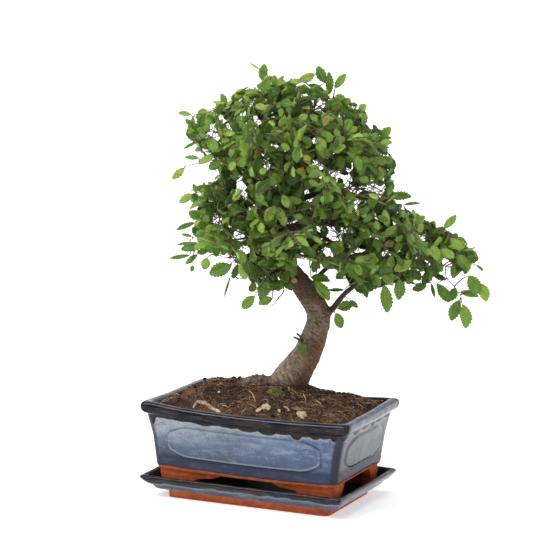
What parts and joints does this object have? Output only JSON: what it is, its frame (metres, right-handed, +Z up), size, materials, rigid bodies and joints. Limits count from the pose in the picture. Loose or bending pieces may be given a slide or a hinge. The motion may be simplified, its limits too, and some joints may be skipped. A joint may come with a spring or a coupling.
{
  "type": "chinese elm bonsai",
  "caption": "Small-leaved elm bonsai with an S-curved trunk, mounded soil, a glazed rectangular footed pot and a matching drip tray.",
  "frame": {"origin": "middle of the drip tray's flat underside", "axes": "+X along the pot's long side to the viewer's right, -Y out of the pot's front, +Z up"},
  "size_m": [0.2919, 0.2357, 0.3928],
  "materials": {
    "glaze": "mottled blue-grey glaze, near black on the lips, bare terracotta on the feet and the foot slab",
    "screen_plastic": "black extruded mesh",
    "peat": "damp fibrous peat with chips and fine roots",
    "bark": "grey-brown bark with fine cross lines and orange flakes",
    "foliage": "thin green leaves with a slight gloss and pale veins",
    "moss": "soft moss tufts",
    "dry_leaf": "dry yellow leaf"
  },
  "bodies": {
    "root": {"drip_tray": "glaze", "pot": "glaze", "drain_screen_left": "screen_plastic", "drain_screen_right": "screen_plastic", "soil": "peat", "curled_root": "bark", "moss_cushion": "moss", "fallen_leaf_1": "dry_leaf", "fallen_leaf_2": "dry_leaf", "trunk_and_branches": "bark", "shoot_01": "foliage", "shoot_02": "foliage", "shoot_03": "foliage", "shoot_04": "foliage", "shoot_05": "foliage", "shoot_06": "foliage", "shoot_07": "foliage", "shoot_08": "foliage", "shoot_09": "foliage", "shoot_10": "foliage", "shoot_11": "foliage", "shoot_12": "foliage", "shoot_13": "foliage", "shoot_14": "foliage", "shoot_15": "foliage", "shoot_16": "foliage", "shoot_17": "foliage", "shoot_18": "foliage", "shoot_19": "foliage", "shoot_20": "foliage", "shoot_21": "foliage", "shoot_22": "foliage", "shoot_23": "foliage", "shoot_24": "foliage", "shoot_25": "foliage", "shoot_26": "foliage", "shoot_27": "foliage", "shoot_28": "foliage", "shoot_29": "foliage", "shoot_30": "foliage", "shoot_31": "foliage", "shoot_32": "foliage", "shoot_33": "foliage", "shoot_34": "foliage", "shoot_35": "foliage", "shoot_36": "foliage", "shoot_37": "foliage", "shoot_38": "foliage", "shoot_39": "foliage", "shoot_40": "foliage", "shoot_41": "foliage", "shoot_42": "foliage", "shoot_43": "foliage", "shoot_44": "foliage", "shoot_45": "foliage", "shoot_46": "foliage", "shoot_47": "foliage", "shoot_48": "foliage", "trunk_sprout": "foliage"}
  },
  "joints": []
}
